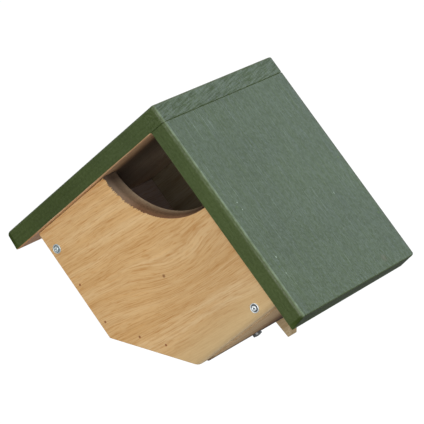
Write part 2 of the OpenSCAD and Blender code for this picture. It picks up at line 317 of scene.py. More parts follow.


# swirl: place in x and z, reach along and across the grain, and how far the grain bows there,
# which falls off as a bell curve of the distance
def woodTone(add, place, turn, shift, tones, swirl=None):
    grain = add("Mapping", {"Rotation": turn, "Location": shift}, {"Vector": place})
    if swirl:
        share = (1 / swirl["along"], 0, 1 / swirl["across"])
        near = add("VectorMath", {1: share}, {0: grain}, operation="MULTIPLY")
        square = add("VectorMath", links={0: near, 1: near}, operation="DOT_PRODUCT")
        bell = add("Math", {0: 1 / math.e}, {1: square}, operation="POWER")
        bow = add("Math", {1: swirl["bow"]}, {0: bell}, operation="MULTIPLY")
        lift = add("CombineXYZ", links={"Z": bow})
        grain = add("VectorMath", links={0: grain, 1: lift}, operation="ADD")
    for size, reach in softwood["wander"]:
        drift = add("TexNoise", {"Scale": 1 / size, "Detail": 1.0}, {"Vector": grain})
        drift = add("VectorMath", {1: (0.5, 0.5, 0.5)}, {0: drift.outputs["Color"]}, operation="SUBTRACT")
        sway = (0, softwood["wanderDeep"] * reach, reach)
        grain = add("VectorMath", {1: sway}, {0: drift, 2: grain}, operation="MULTIPLY_ADD")
    layer = {}
    for name in ("band", "vein", "fibre"):
        drawn = add("Mapping", {"Scale": perCell(*softwood[name])}, {"Vector": grain})
        layer[name] = add("TexNoise", {"Scale": 1.0, "Detail": 2.0, "Roughness": 0.6}, {"Vector": drawn})
    tone = add("ValToRGB", links={"Fac": layer["band"]}, stops=zip(softwood["bandStops"], tones))
    for name, stops in softwood["lines"].items():
        lines = add("ValToRGB", links={"Fac": layer[name]}, stops=stops)
        tone = add("Mix", {"Factor": 1.0}, {"A": tone, "B": lines}, **multiply)
    return tone, layer


def finishWood(add, shader, tone, layer):
    heights = {0: layer["fibre"], 2: layer["vein"]}
    rise = add("Math", {1: softwood["fibreRise"]}, heights, operation="MULTIPLY_ADD")
    connect(shader, {"Base Color": tone, "Normal": add("Bump", softwood["bump"], {"Height": rise})})
    shader.inputs["Roughness"].default_value = softwood["roughness"]
    shader.inputs["IOR"].default_value = softwood["ior"]


# shades: tones laid over the wood along an axis, such as painted shade towards the wall and inside the box, and stains
def woodMaterial(name, turn, shift, tones, shades=()):
    material, add, shader = newMaterial(name)
    place = ownPlace(add)
    tone, layer = woodTone(add, place, turn, shift, tones)
    axes = add("SeparateXYZ", links={"Vector": place})
    finishWood(add, shader, layTones(add, tone, axes.outputs, shades), layer)
    return material


# the front panel's own figure: the grain climbs to the right and bows round a pin knot, and the sawn face
# of the entrance is greyer, with end grain; a layer is its tone, measure, start, end, share and way to mix
panelFigure = {
    "grainAngle": 38.0,
    "swirl": {"middle": (23.0, -100.0), "along": 52.0, "across": 20.0, "bow": 15.0},
    "knot": (9.0, -109.4),  # place in x, and down from the ridge
    "face": (
        ("7A4E2C", "knot", 1.82, 0.65, 0.8, blend),
        ("F2F4F8", "X", -10.0, 60.0, 1.0, multiply),  # painted shade: darker and cooler on the right, under the right roof
        ("C6AE82", "edge", panelEdge - 26, panelEdge - 4, 0.65, blend),  # paler and greyer along the lower right edge
        ("F0D4A8", "Y", panelFront + 1.2, panelFront + 5, 0.85, blend),  # painted light: paler on the rounded edges and sides, against their falling shade
    ),
    "sawnTones": ((0.15, "6C4C34"), (0.6, "8E7054"), (0.95, "BCA486")),  # from the cut's front rim to its rear rim
    "sawn": (
        ("D2C0A8", "X", -15.0, -45.0, 0.4, blend),  # painted light: the cut's left part paler, where the light reaches it
        ("6A6460", "Z", ridge - 60, ridge - 47, 1.0, multiply),  # painted shade at the cut's upper ends, under the roof
    ),
    "sawnReach": 70.0,  # no other edge lies so near the ridge
    "sawnStart": (panelFront + 0.02, panelFront + 0.25),
    "grit": 1.6,  # size of the torn end grain
    "gritStops": ((0.3, 0.74), (0.55, 1.0), (0.75, 1.15)),
}
grainAngle = math.radians(panelFigure["grainAngle"])
grainUp = np.array([math.cos(grainAngle), math.sin(grainAngle)])


def panelMaterial():
    material, add, shader = newMaterial("planed_softwood_panel")
    place = ownPlace(add)
    axes = add("SeparateXYZ", links={"Vector": place})
    middle = apex + panelFigure["swirl"]["middle"]
    shift = (-(middle @ grainUp), 0, middle[0] * grainUp[1] - middle[1] * grainUp[0])
    tone, layer = woodTone(add, place, (0, grainAngle, 0), shift, freshTones, panelFigure["swirl"])
    x, z = apex + panelFigure["knot"]
    toKnot = add("VectorMath", {1: (x, panelFront, z)}, {0: place}, operation="DISTANCE")
    out = add("VectorMath", {1: (edgeOut[0], 0, edgeOut[1])}, {0: place}, operation="DOT_PRODUCT")
    measures = dict(axes.outputs.items(), knot=toKnot, edge=out)
    tone = layTones(add, tone, measures, panelFigure["face"])
    # the cut is what lies near the ridge and behind the panel's face
    flat = add("VectorMath", {1: (1, 0, 1), 2: (0, 0, -ridge)}, {0: place}, operation="MULTIPLY_ADD")
    radius = add("VectorMath", links={0: flat}, operation="LENGTH")
    inCut = add("Math", {1: panelFigure["sawnReach"]}, {0: radius}, operation="LESS_THAN")
    start, end = panelFigure["sawnStart"]
    behind = add("MapRange", {"From Min": start, "From Max": end}, {"Value": measures["Y"]})
    sawn = add("Math", links={0: inCut, 1: behind}, operation="MULTIPLY")
    through = add("MapRange", {"From Min": panelFront, "From Max": panelRear}, {"Value": measures["Y"]})
    cutTone = add("ValToRGB", links={"Fac": through}, stops=panelFigure["sawnTones"])
    grit = add("TexNoise", {"Scale": 1 / panelFigure["grit"], "Detail": 3.0}, {"Vector": place})
    grit = add("ValToRGB", links={"Fac": grit}, stops=panelFigure["gritStops"])
    cutTone = add("Mix", {"Factor": 1.0}, {"A": cutTone, "B": grit}, **multiply)
    cutTone = layTones(add, cutTone, measures, panelFigure["sawn"])
    tone = add("Mix", links={"Factor": sawn, "A": tone, "B": cutTone}, **blend)
    finishWood(add, shader, tone, layer)
    return material


# satin paint brushed on over planed boards: fine grain lines show through down the slope, the edges
# are paler from wear and a painted highlight, the underside stays bare, and the end grain at the ridge takes the paint
# unevenly
wallLine = panelHigh[0] / cosSlope  # where the walls meet the roof, down the slope
paint = {
    "tones": ((0.34, "384522"), (0.5, "3E4C26"), (0.66, "44532B")),
    "streak": (34.0, 1.4),  # length and width of the drawn-out patterns, mm
    "scratch": (40.0, 0.75),
    "endGrain": (11.0, 1.15),
    "endGrainTurn": -0.2,
    "patch": 60.0,  # size of the even patterns, mm
    "peel": 2.3,
    "rub": 5.0,
    "speckle": ((0.38, 0.95), (0.62, 1.05)),  # from the peel
    "blotch": ((0.32, 0.85), (0.5, 1.0), (0.7, 1.1)),  # from the pores of the end grain on the lap
    "frontShade": {-1: "E6E6C8", 1: "FAF8F4"},
    "eaveEnd": ((0.1, "FFFFFF"), (0.35, "DCE0CC"), (0.6, "CCD2B8")),  # up the eave's end: painted shade, darker towards its top
    "stain": (162.5, -34.3, roofThick),  # a brown spot on the right slope: down the slope, in depth and on top
    # wear and a painted highlight along the right board's front top edge, and along the front of the left board's lap:
    # the axes across it, and a place on it
    "wearAndHighlightEdge": {1: ((0, 1, 1), (0, roofFront + 2.2, roofThick - 0.25)),
                 -1: ((1, 1, 0), (lapLength - 0.3, roofFront + 1.8, 0))},
    "over": {"scratched": "7C8C74", "stained": "5E5230", "worn": "78866A"},  # tones over the film, by mask
    "bareTones": ("CCAC8C", "D6B89A", "E0C6AA"),
    "paintedShade": ((0.0, "F8ECDC"), (0.06, "D2C6B8"), (0.14, "6A6866"),  # painted shade on the underside: darkest just inside the entrance, then lighter again towards the wall as painted light
              (0.24, "6E7074"), (0.5, "BCC2C8"), (0.8, "F0F8FF")),
    "eaveSoffit": "EED0AE",  # a yellower, slightly darker tone outside the walls
    "raggedLine": 0.7,  # how far the paint's lower line wavers
    "endSheen": 0.15,
    "peelRise": 1.9,  # against the rise of the streaks
    "scratchRise": 0.5,
    "bump": {"Strength": 0.9, "Distance": 0.26 * mm},
    "ior": 1.38,
}
# each mask runs with its measure from start to end, between the two values given or from 0 to 1
roofMasks = {
    "facing": ("depth", roofFront + 2, roofFront + 0.5),  # the front edge
    "fromRidge": ("down", 30.0, 100.0),
    "onLap": ("down", -3.0, 0.0, 1.0, 0.0),
    "atEnd": ("down", roofRun - 4.5, roofRun - 3.5),
    "upEnd": ("height", 0.0, roofThick),
    "underTop": ("height", roofThick - 0.3, roofThick - 1.2),
    "onTop": ("height", roofThick - 1.2, roofThick - 0.3),
    "inward": ("depth", panelFront, 0.0),
    "indoors": ("down", wallLine, wallLine - 8),
    "outdoors": ("down", wallLine - 8, wallLine),
    "painted": ("ragged", 0.5, 0.9),
    "scratched": ("scratch", 0.60, 0.70, 0.0, 0.5),  # sparse pale marks along the grain
    "stained": ("toStain", 1.0, 4.0, 0.35, 0.0),
    # pale line along the front top edges: wear and a painted highlight
    "worn": ("toEdge", 0.4, 1.3, 0.9, 0.0),
    "rubbed": ("rub", 0.3, 0.6, 0.35, 1.0),
    "gloss": ("streak", 0.3, 0.7, 0.34, 0.5),
    "sheen": ("peel", 0.36, 0.64, 0.42, 0.6),  # the film shines less in the hollows of its peel
    "poreSheen": ("pores", 0.38, 0.6, 0.25, 0.72),  # and least in the open pores of the lap
}


def roofMaterial(name, side):
    material, add, shader = newMaterial(name)
    place = ownPlace(add)
    turn = (0, -side * slope, 0)
    fromApex = (side * ridge * sinSlope, 0, -ridge * cosSlope)
    turned = add("Mapping", {"Rotation": turn, "Location": fromApex}, {"Vector": place})
    axes = add("SeparateXYZ", links={"Vector": turned})
    down = add("Math", {1: float(side)}, {0: axes.outputs["X"]}, operation="MULTIPLY")
    measures = {"down": down, "depth": axes.outputs["Y"], "height": axes.outputs["Z"]}
    for key in ("streak", "scratch"):
        drawn = add("Mapping", {"Scale": perCell(*paint[key])}, {"Vector": turned})
        measures[key] = add("TexNoise", {"Scale": 1.0, "Detail": 3.0, "Roughness": 0.65}, {"Vector": drawn})
    for key, detail in (("patch", 3.0), ("peel", 2.0), ("rub", 3.0)):
        measures[key] = add("TexNoise", {"Scale": 1 / paint[key], "Detail": detail}, {"Vector": turned})
    long, wide, _ = perCell(*paint["endGrain"])
    drawn = add("Mapping", {"Rotation": (paint["endGrainTurn"], 0, 0)}, {"Vector": turned})
    drawn = add("Mapping", {"Scale": (wide, long, wide)}, {"Vector": drawn})
    measures["pores"] = add("TexNoise", {"Scale": 1.0, "Detail": 3.0}, {"Vector": drawn})
    measures["toStain"] = add("VectorMath", {1: paint["stain"]}, {0: turned}, operation="DISTANCE")
    across, onEdge = paint["wearAndHighlightEdge"][side]
    toEdge = {1: across, 2: tuple(-value for value in onEdge)}
    toEdge = add("VectorMath", toEdge, {0: turned}, operation="MULTIPLY_ADD")
    measures["toEdge"] = add("VectorMath", links={0: toEdge}, operation="LENGTH")
    ragged = {0: measures["streak"], 2: measures["height"]}
    measures["ragged"] = add("Math", {1: paint["raggedLine"]}, ragged, operation="MULTIPLY_ADD")
    mask = {}
    for key, (measure, *limits) in roofMasks.items():
        values = dict(zip(("From Min", "From Max", "To Min", "To Max"), limits))
        mask[key] = add("MapRange", values, {"Value": measures[measure]})
    for key, within in (("facing", "fromRidge"), ("atEnd", "underTop"), ("scratched", "onTop"), ("worn", "rubbed")):
        mask[key] = add("Math", links={0: mask[key], 1: mask[within]}, operation="MULTIPLY")
    # green film, half patchy and half streaky: the front edges are darker, the left one most and less near the ridge,
    # the lap is blotched by its pores, and the eave's end takes painted shade, darker towards its top
    both = add("Math", {1: 0.5}, {0: measures["patch"]}, operation="MULTIPLY")
    both = add("Math", {1: 0.5}, {0: measures["streak"], 2: both}, operation="MULTIPLY_ADD")
    green = add("ValToRGB", links={"Fac": both}, stops=paint["tones"])
    speckle = add("ValToRGB", links={"Fac": measures["peel"]}, stops=paint["speckle"])
    green = add("Mix", {"Factor": 1.0}, {"A": green, "B": speckle}, **multiply)
    green = add("Mix", {"B": paint["frontShade"][side]}, {"Factor": mask["facing"], "A": green}, **multiply)
    for key, fac, within in (("blotch", measures["pores"], "onLap"), ("eaveEnd", mask["upEnd"], "atEnd")):
        shade = add("ValToRGB", links={"Fac": fac}, stops=paint[key])
        green = add("Mix", links={"Factor": mask[within], "A": green, "B": shade}, **multiply)
    for key, over in paint["over"].items():
        green = add("Mix", {"B": over}, {"Factor": mask[key], "A": green}, **blend)
    # bare underside with a ragged paint line
    bare, _ = woodTone(add, place, turn, (200, 100, 300), paint["bareTones"])
    # painted shade inside the box: darker just inside the entrance, lighter again towards the wall
    paintedShade = add("ValToRGB", links={"Fac": mask["inward"]}, stops=paint["paintedShade"])
    bare = add("Mix", links={"Factor": mask["indoors"], "A": bare, "B": paintedShade}, **multiply)
    bare = add("Mix", {"B": paint["eaveSoffit"]}, {"Factor": mask["outdoors"], "A": bare}, **multiply)
    atLap = add("Math", {1: 1.0}, {0: down}, operation="LESS_THAN")
    painted = add("Math", links={0: mask["painted"], 1: atLap}, operation="MAXIMUM")
    tone = add("Mix", links={"Factor": painted, "A": bare, "B": green}, **blend)
    sheens = {"Factor": mask["onLap"], "A": mask["sheen"], "B": mask["poreSheen"]}
    sheen = add("Mix", links=sheens, data_type="FLOAT")
    sheen = add("Mix", {"B": paint["endSheen"]}, {"Factor": mask["atEnd"], "A": sheen}, data_type="FLOAT")
    rise = measures["streak"]
    for key in ("peel", "scratch"):
        rise = add("Math", {1: paint[key + "Rise"]}, {0: measures[key], 2: rise}, operation="MULTIPLY_ADD")
    rise = add("Math", links={0: measures["pores"], 1: mask["onLap"], 2: rise}, operation="MULTIPLY_ADD")
    connect(shader, {"Base Color": tone, "Roughness": mask["gloss"], "Specular IOR Level": sheen,
                     "Normal": add("Bump", paint["bump"], {"Height": rise})})
    shader.inputs["IOR"].default_value = paint["ior"]
    return material


# zinc plate on pressed steel: cool grey and a little cloudy, bright where new, and darker as painted shade on the lock
# screw;
# wire brads: dull steel with a bloom of rust, or with paint over the head
zincPlate = {"cloud": 1.5, "stops": (0.3, 0.7), "gloss": {"To Min": 0.35, "To Max": 0.55},
             "paintedShadeReach": 4.0, "paintedShadeRings": (0.14, 0.24, 0.46, 0.54, 0.68, 0.73)}
bradSteel = {"cloud": 0.8, "stops": (0.35, 0.65), "gloss": {"To Min": 0.4, "To Max": 0.65}}


# tones from dull to bright; painted shade darkens the recess of the seated head and the groove round its dome
def steelMaterial(name, steel, tones, metallic, paintedShade=None, seat=None):
    material, add, shader = newMaterial(name)
    place = ownPlace(add)
    cloud = add("TexNoise", {"Scale": 1 / steel["cloud"], "Detail": 2.0}, {"Vector": place})
    tone = add("ValToRGB", links={"Fac": cloud}, stops=zip(steel["stops"], tones))
    if paintedShade:
        flat = add("VectorMath", {1: (1, 0, 1)}, {0: place}, operation="MULTIPLY")
        away = add("VectorMath", {1: (seat[0], 0, seat[2])}, {0: flat}, operation="DISTANCE")
        ring = add("MapRange", {"From Max": steel["paintedShadeReach"]}, {"Value": away})
        rings = zip(steel["paintedShadeRings"], (paintedShade, 1.0, 1.0, paintedShade, paintedShade, 1.0))
        ring = add("ValToRGB", links={"Fac": ring}, stops=rings)
        tone = add("Mix", {"Factor": 1.0}, {"A": tone, "B": ring}, **multiply)
    connect(shader, {"Base Color": tone, "Roughness": add("MapRange", steel["gloss"], {"Value": cloud})})
    shader.inputs["Metallic"].default_value = metallic
    return material


quarter = math.pi / 2
panelWood = panelMaterial()
# painted shade: the back board darker and greyer above its foot, standing in for the shade inside the box
insideShade = [("B6BCC6", "Z", panelLow[2] - 4, panelLow[2] + 6, 1.0, multiply)]
backWood = woodMaterial("planed_softwood_back", (0, slope, 0), (400, 300, 100), ("A48E6A", "B49E7A", "C2AE8C"),
                        insideShade)
wallWood = woodMaterial("planed_softwood_walls", (0, 0, -quarter), (100, 200, 500), innerTones)
doorShadeAndStains = [
    ("988678", "Y", panelRear + 8, -20.0, 1.0, multiply),  # painted shade: the door's face darker towards the wall, with the next two tones
    ("E0D2C4", "Y", panelRear + 30, -45.0, 1.0, multiply),
    ("927E6E", "Y", -90.0, -45.0, 1.0, multiply),
    ("6E5E50", "Z", panelLow[2] + 7, panelLow[2] + 1, 1.0, multiply),  # darker along the lower edge
    ("CCC8C6", "Y", panelRear + 2.2, panelRear + 0.6, 1.0, multiply),  # the sawn end drinks in more dirt
]
doorWood = woodMaterial("planed_softwood_door", (0, 0, -quarter), (700, 100, 200), ("D2B082", "DEBE92", "E8CCA4"),
                        doorShadeAndStains)
roofPaint = {1: roofMaterial("satin_green_paint_right", 1), -1: roofMaterial("satin_green_paint_left", -1)}
screwSpin = {"front_left_screw": 20, "front_pivot_screw": 65, "rear_left_screw": 5, "rear_pivot_screw": 50}
screwPlace = {name: sum(nodeSpan(name)) / 2 for name in screwSpin}
# each head's recess and groove take the last tone as painted shade
zinc = steelMaterial("bright_zinc_plate", zincPlate, ("D0D6D8", "F4F8F8"), 0.6,  # a white bloom of oxide scatters
                     "585E64", screwPlace["front_pivot_screw"])
cloudyZinc = steelMaterial("cloudy_zinc_plate", zincPlate, ("B4BEC0", "D8E0E0"), 0.6,
                           "B8C0C4", screwPlace["front_left_screw"])
# painted shade: a darker copy of the zinc for the lock screw, which sits in the door's shade
dullZinc = steelMaterial("shaded_zinc_plate", zincPlate, ("5C5E5E", "868888"), 1.0)
rustyBrad = steelMaterial("rusty_brad_steel", bradSteel, ("84502E", "AE7A4C"), 0.5)
paintedBrad = steelMaterial("brad_steel_under_paint", bradSteel, ("424F2A", "566640"), 0.5)
flakeTone = steelMaterial("bare_primer_flake", bradSteel, ("808C76", "9CA692"), 0.5)
print("materials ready")

# roof boards: the left one laps over the end of the right one at the ridge
roofEdges = {
    "ease": (2.8, 2.6),  # at the front and at the rear
    "eaveLean": 2.5,  # how far the right eave's end cut leans back at its front end
    "rearLean": 1.0,  # at its rear end, and all along the left one
    "leftRadii": (0.55, 1.8, 3.0, 0.4),  # lap, ridge, eave's outer and inner corner
    "leftShares": ((0.8, 0.6, 0.25, 0.25), (0.15, 0.15, 1, 0.25)),  # of the easing, each side's at the front and rear
    "rightRadii": (0.4, 0.9, 0.55, 0.55),  # eave's inner and outer corner, lap, ridge
    "rightShares": ((0.25, 1, 0.1, 0.25), (1, 0.15, 0.1, 0.25)),
}
lapEnd = apex + lapLength * downRight * np.array([1, -1])
ridgeTop = apex + np.array([0, roofThick / cosSlope])
eaveInner = apex + roofRun * downRight
eaveOuter, eaveRear = (eaveInner + roofThick * outRight - roofEdges[key] * downRight
                       for key in ("eaveLean", "rearLean"))
roofHalf = (roofRear - roofFront) / 2
leftRoof = straightOutline([lapEnd, ridgeTop, eaveRear * flip, eaveInner * flip],
                           roofEdges["leftRadii"], *roofEdges["leftShares"], roofHalf)
rightEnds = [straightOutline([eaveInner, outer, lapEnd, apex],
                             roofEdges["rightRadii"], *roofEdges["rightShares"], roofHalf)
             for outer in (eaveOuter, eaveRear)]
rightRoof = twistedOutline(*rightEnds, 2 * roofHalf)
for side, word, outline in ((-1, "left", leftRoof), (1, "right", rightRoof)):
    easedBoard(f"{word}_roof_board", outline, roofFront, roofRear, roofEdges["ease"], roofPaint[side])

# front panel: rounded sides, and the round entrance with fibres torn out of its front rim
panelEdges = {
    "ease": (5.0, 0.25),
    "shares": (0.15, 0.3, 0.35, 1.0, 0.15, 0.15),  # of the easing, for each side
    "corner": 1.8,
    "entranceCorner": 0.6,
    "entranceSteps": 420,
    "sawRim": 0.12,  # share of the easing on the cut's own rim
    "tears": 100,
    "tearSeed": 7,
    "tearPlace": (0.35, 1.0),  # along the cut, from its right end to its left end
    "tearWidth": (0.25, 0.55),
    "tearLength": (0.5, 2.6),
    "tearGrowth": (0.3, 2.2),  # where along the cut they start to lengthen, and how fast
    "tearReach": 2.2,  # how deep into the cut they run
}
rng = np.random.default_rng(panelEdges["tearSeed"])
tearPlace, tearWidth, tearLength = (rng.uniform(*panelEdges[key], (panelEdges["tears"], 1))
                                    for key in ("tearPlace", "tearWidth", "tearLength"))
tearWidth = tearWidth / (house["entranceRadius"] * (np.pi - 2 * slope))
tearLength = tearLength * np.clip((tearPlace - panelEdges["tearGrowth"][0]) * panelEdges["tearGrowth"][1], 0, 1)
alongCut = np.linspace(0, 1, panelEdges["entranceSteps"])
tearDepth = (tearLength * np.clip(1 - abs(alongCut - tearPlace) / tearWidth, 0, 1)).max(0)


# the cut is an arc whose radius shrinks evenly with depth; a tear pulls a place on its front rim down the grain
def panelOutline(inset, depth):
    radius = house["entranceRadius"] - house["entranceLean"] * depth / (panelRear - panelFront)
    end = apex + radius * downRight
    corners = np.array([end * flip, sideCorner * flip, footCorner * flip, footCorner, sideCorner, end])
    before, after = sideNormals(corners)
    before[0], after[-1] = -downRight * flip, -downRight  # the cut meets the roof square
    radii = np.full(len(corners), panelEdges["corner"])
    radii[[0, -1]] = panelEdges["entranceCorner"]
    points, normals = cornerArcs(corners, before, after, radii, inset, panelEdges["shares"])
    margin = panelEdges["entranceCorner"] / radius
    angle = -slope - margin - alongCut * (np.pi - 2 * slope - 2 * margin)
    ray = np.c_[np.cos(angle), np.sin(angle)]
    cut = apex + (radius + panelEdges["sawRim"] * inset) * ray
    cut -= (tearDepth * max(0.0, 1 - depth / panelEdges["tearReach"]))[:, None] * grainUp
    return np.r_[points, cut], np.r_[normals, -ray]


easedBoard("front_panel", panelOutline, panelFront, panelRear, panelEdges["ease"], panelWood)

# back board: the panel's outline with two feet, the fixing holes and the seats of the rear screws
backPlan = {
    "ease": (0.4, 0.4),
    "corner": 0.5,
    "footHalf": 33.0,  # from the middle to each foot's upright side
    "fixingRadius": 2.5,
    "fixingInset": 9.0,
    "fixingRise": 19.0,
    "seatRadius": 4.25,
    "seatDepth": 3.2,
}
footTip = np.array([backPlan["footHalf"], backLow[2]])
footTop = footCorner + (backPlan["footHalf"] - footCorner[0]) / edgeUp[0] * edgeUp
footFixing = footTip + [-backPlan["fixingInset"], backPlan["fixingRise"]]
backCorners = [apex, sideCorner * flip, footTop * flip, footTip * flip, [0, panelLow[2]], footTip, footTop, sideCorner]
fixings = [(middle, backPlan["fixingRadius"]) for middle in ([0, 0], footFixing, footFixing * flip)]
seats = [(screwPlace[name][[0, 2]], backPlan["seatRadius"], backPlan["seatDepth"])
         for name in ("rear_left_screw", "rear_pivot_screw")]
easedBoard("back_board", straightOutline(backCorners, backPlan["corner"]), backLow[1], backHigh[1], backPlan["ease"],
           backWood, "box", fixings, seats)

# side walls: the right one is the door
wallEdges = {"ease": (1.1, 1.1), "corner": 1.0}


# outer face, then inner face: each line runs up along the panel's edge from its level to the roof less the gap
def wallOutline(gap, side):
    outer, inner = house["wallProud"], house["wallProud"] - house["wallThick"]
    corners = []
    for out, atRoof in ((outer, False), (outer, True), (inner, True), (inner, False)):
        foot = footCorner + out * edgeOut
        level = (footCorner[1] - foot[1]) / edgeUp[1]
        roof = (-gap - outRight @ (foot - apex)) / (outRight @ edgeUp)
        corners.append(foot + (roof if atRoof else level) * edgeUp)
    corners = np.array(corners)
    return straightOutline(corners if side > 0 else corners[::-1] * flip, wallEdges["corner"])


leftLow, leftHigh = nodeSpan("left_wall")
doorLow, doorHigh = nodeSpan("door_wall")
easedBoard("left_wall", wallOutline(0, -1), leftLow[1], leftHigh[1], wallEdges["ease"], wallWood)
easedBoard("door_wall", wallOutline(house["doorTopGap"], 1), doorLow[1], doorHigh[1], wallEdges["ease"], doorWood,
           "door")
frame["nodes"]["floor_board"].material_slots[0].material = wallWood  # its edges meet other boards: its solid stays

# screws: a domed head on a flange, a cross recess, and a threaded shank that tapers to a point
flangeHead = {"flangeRadius": 3.75, "flangeHeight": 1.15, "flangeRim": 0.4, "grooveRadius": 2.8,
              "grooveHeight": 0.15, "domeRadius": 2.1, "domeRise": 2.1}
panHead = {"flangeRadius": 3.75, "flangeHeight": 2.0, "flangeRim": 0.55, "grooveRadius": 2.5,
           "grooveHeight": 1.95, "domeRadius": 2.4, "domeRise": 0.55}
screw = {
    "steps": 120,
    "domeRows": 48,
    "domePowers": (0.85, 0.7),  # fullness of the dome, outwards and up
    "recess": (3.0, 0.95, 0.9),  # length and width of each arm, and depth
    "recessFade": (0.5, 0.45),  # width of its slopes, along and across
    "rimRows": 11,
    "underRim": 0.1,  # how far the flange draws in at its seat
    "shankRadius": 1.75,
    "coreRadius": 1.2,
    "pitch": 1.6,
    "rowsPerTurn": 10,
    "crestShape": (1.4, 2.8),  # height and fall of the thread's crest, cut off at 1
    "plainNeck": 1.5,
    "neckShare": 0.6,
    "point": 3.0,
    "tipShare": 0.12,
}


# rows: the dome is a superellipse less the cross, then a groove, then the flange with a half-round rim, then the
# shank, whose radius swings between core and crest with the depth less the turn of the thread
def screwSurface(shankLength, head):
    angle = np.linspace(0, 2 * np.pi, screw["steps"], endpoint=False)[None, :]
    turn = np.ones_like(angle)
    phi = np.linspace(0.02, np.pi / 2, screw["domeRows"])[:, None]  # starts just off the pole
    outPower, upPower = screw["domePowers"]
    domeR = head["domeRadius"] * np.sin(phi) ** outPower * turn
    domeH = head["grooveHeight"] + head["domeRise"] * np.cos(phi) ** upPower * turn
    x, y = domeR * np.cos(angle), domeR * np.sin(angle)
    length, width, recessDepth = screw["recess"]
    endFade, sideFade = screw["recessFade"]
    arm = lambda u, v: (np.clip((length / 2 - abs(u)) / endFade + 0.5, 0, 1)
                        * np.clip((width / 2 - abs(v)) / sideFade + 0.5, 0, 1))
    domeH = domeH - recessDepth * np.maximum(arm(x, y), arm(y, x))
    rim, flange = head["flangeRim"], head["flangeRadius"]
    theta = np.linspace(-np.pi / 2, np.pi / 2, screw["rimRows"])
    rimR = np.r_[head["grooveRadius"], flange - rim + rim * np.sin(theta), flange - screw["underRim"]]
    rimH = np.r_[head["grooveHeight"], head["flangeHeight"] - rim + rim * np.cos(theta), 0.0]
    drop = np.linspace(0, shankLength, int(shankLength / screw["pitch"] * screw["rowsPerTurn"]))[:, None]
    phase = (drop / screw["pitch"] - angle / (2 * np.pi)) % 1
    crest = np.clip(screw["crestShape"][0] - screw["crestShape"][1] * abs(phase - 0.5), 0, 1)
    crest = np.where(drop < screw["plainNeck"], screw["neckShare"], crest)
    taper = np.clip((shankLength - drop) / screw["point"], screw["tipShare"], 1)
    shank = (screw["coreRadius"] + (screw["shankRadius"] - screw["coreRadius"]) * crest) * taper
    radius = np.concatenate([domeR, rimR[:, None] * turn, shank])
    height = np.concatenate([domeH, rimH[:, None] * turn, -drop * turn])
    return radius, height, angle


# a turned surface set on its seats along an axis, with both poles closed
def turnedPiece(name, radius, height, angle, seats, axis, spin, material, slot, body="box"):
    axis = Vector(axis).normalized()
    across = axis.orthogonal().normalized()
    across.rotate(Matrix.Rotation(math.radians(spin), 3, axis))
    basis = np.array([across, axis.cross(across), axis])
    grid = np.stack([radius * np.cos(angle), radius * np.sin(angle), height], -1)
    shape = grid.reshape(-1, 3) @ basis
    seats = np.atleast_2d(seats)
    rows, count = grid.shape[:2]
    faces = []
    for start in np.arange(len(seats)) * len(shape):
        faces += ringFaces(rows, count, start)
        faces.append((start + np.arange(count)).tolist())
        faces.append((start + rows * count - 1 - np.arange(count)).tolist())
    points = (seats[:, None] + shape[None]).reshape(-1, 3)
    meshPiece(name, points, faces, material, body, [name])


frontLength = nodeSpan("front_pivot_screw")[1][1] - panelFront
rearSeat = backHigh[1] - backPlan["seatDepth"]
rearLength = rearSeat - nodeSpan("rear_pivot_screw")[0][1]
for name, spin in screwSpin.items():
    x, _, z = screwPlace[name]
    y, facing, length = (panelFront, -1, frontLength) if "front" in name else (rearSeat, 1, rearLength)
    plate = cloudyZinc if "left" in name else zinc
    turnedPiece(name, *screwSurface(length, flangeHead), (x, y, z), (0, facing, 0), spin, plate, "zinc_plate")
lock = {
    "rise": 2.5,  # along the door's face from its lower edge
    "length": house["wallThick"] + 3.5,  # under the head
    "spin": 30,
}
lockAxis = np.array(frame["record"]["behaviour"]["joints"][1]["axis"])
lockSeat = footCorner + [house["wallProud"] / edgeOut[0], 0] + lock["rise"] * edgeUp
lockSeat = (lockSeat[0], (doorLow[1] + doorHigh[1]) / 2, lockSeat[1])
turnedPiece("lock_screw", *screwSurface(lock["length"], panHead), lockSeat, lockAxis, lock["spin"],
            dullZinc, "zinc_plate", "lock")

# brads: low domed heads, a hair over the wood in front and under it at the rear; the crown falls with the
# square of the radius
brad = {
    "radius": 0.7,
    "headRadius": 1.0,
    "headHeight": 0.8,
    "crown": 0.12,
    "proud": 0.02,
    "sunk": 0.15,
    "length": 30.0,
    "point": 1.5,
    "tipRadius": 0.15,
    "steps": 20,
    "entranceToBrad": 14.5,
    "cornerToBrad": 20.0,
    "ridgeEnd": 24.0,
    "ridgeCount": 3,
    "wallInset": 6.5,
    "wallAlong": (12.0, 46.0),
    "floorX": 12.0,
    "floorRise": 4.5,
}
bradAngle = np.linspace(0, 2 * np.pi, brad["steps"], endpoint=False)[None, :]
part = np.linspace(0.05, 1, 6)  # of the head's radius
bradRadius = np.r_[brad["headRadius"] * part, brad["headRadius"], brad["radius"], brad["radius"], brad["tipRadius"]]
bradHeight = np.r_[brad["crown"] * (1 - part ** 2) + brad["proud"], -brad["headHeight"], -brad["headHeight"],
                   brad["point"] - brad["length"], -brad["length"]]
bradRadius, bradHeight = (rows[:, None] * np.ones_like(bradAngle) for rows in (bradRadius, bradHeight))


def bradRow(name, seats, axis, material):
    turnedPiece(name, bradRadius, bradHeight, bradAngle, np.array(seats), axis, 0, material, "brad_steel")


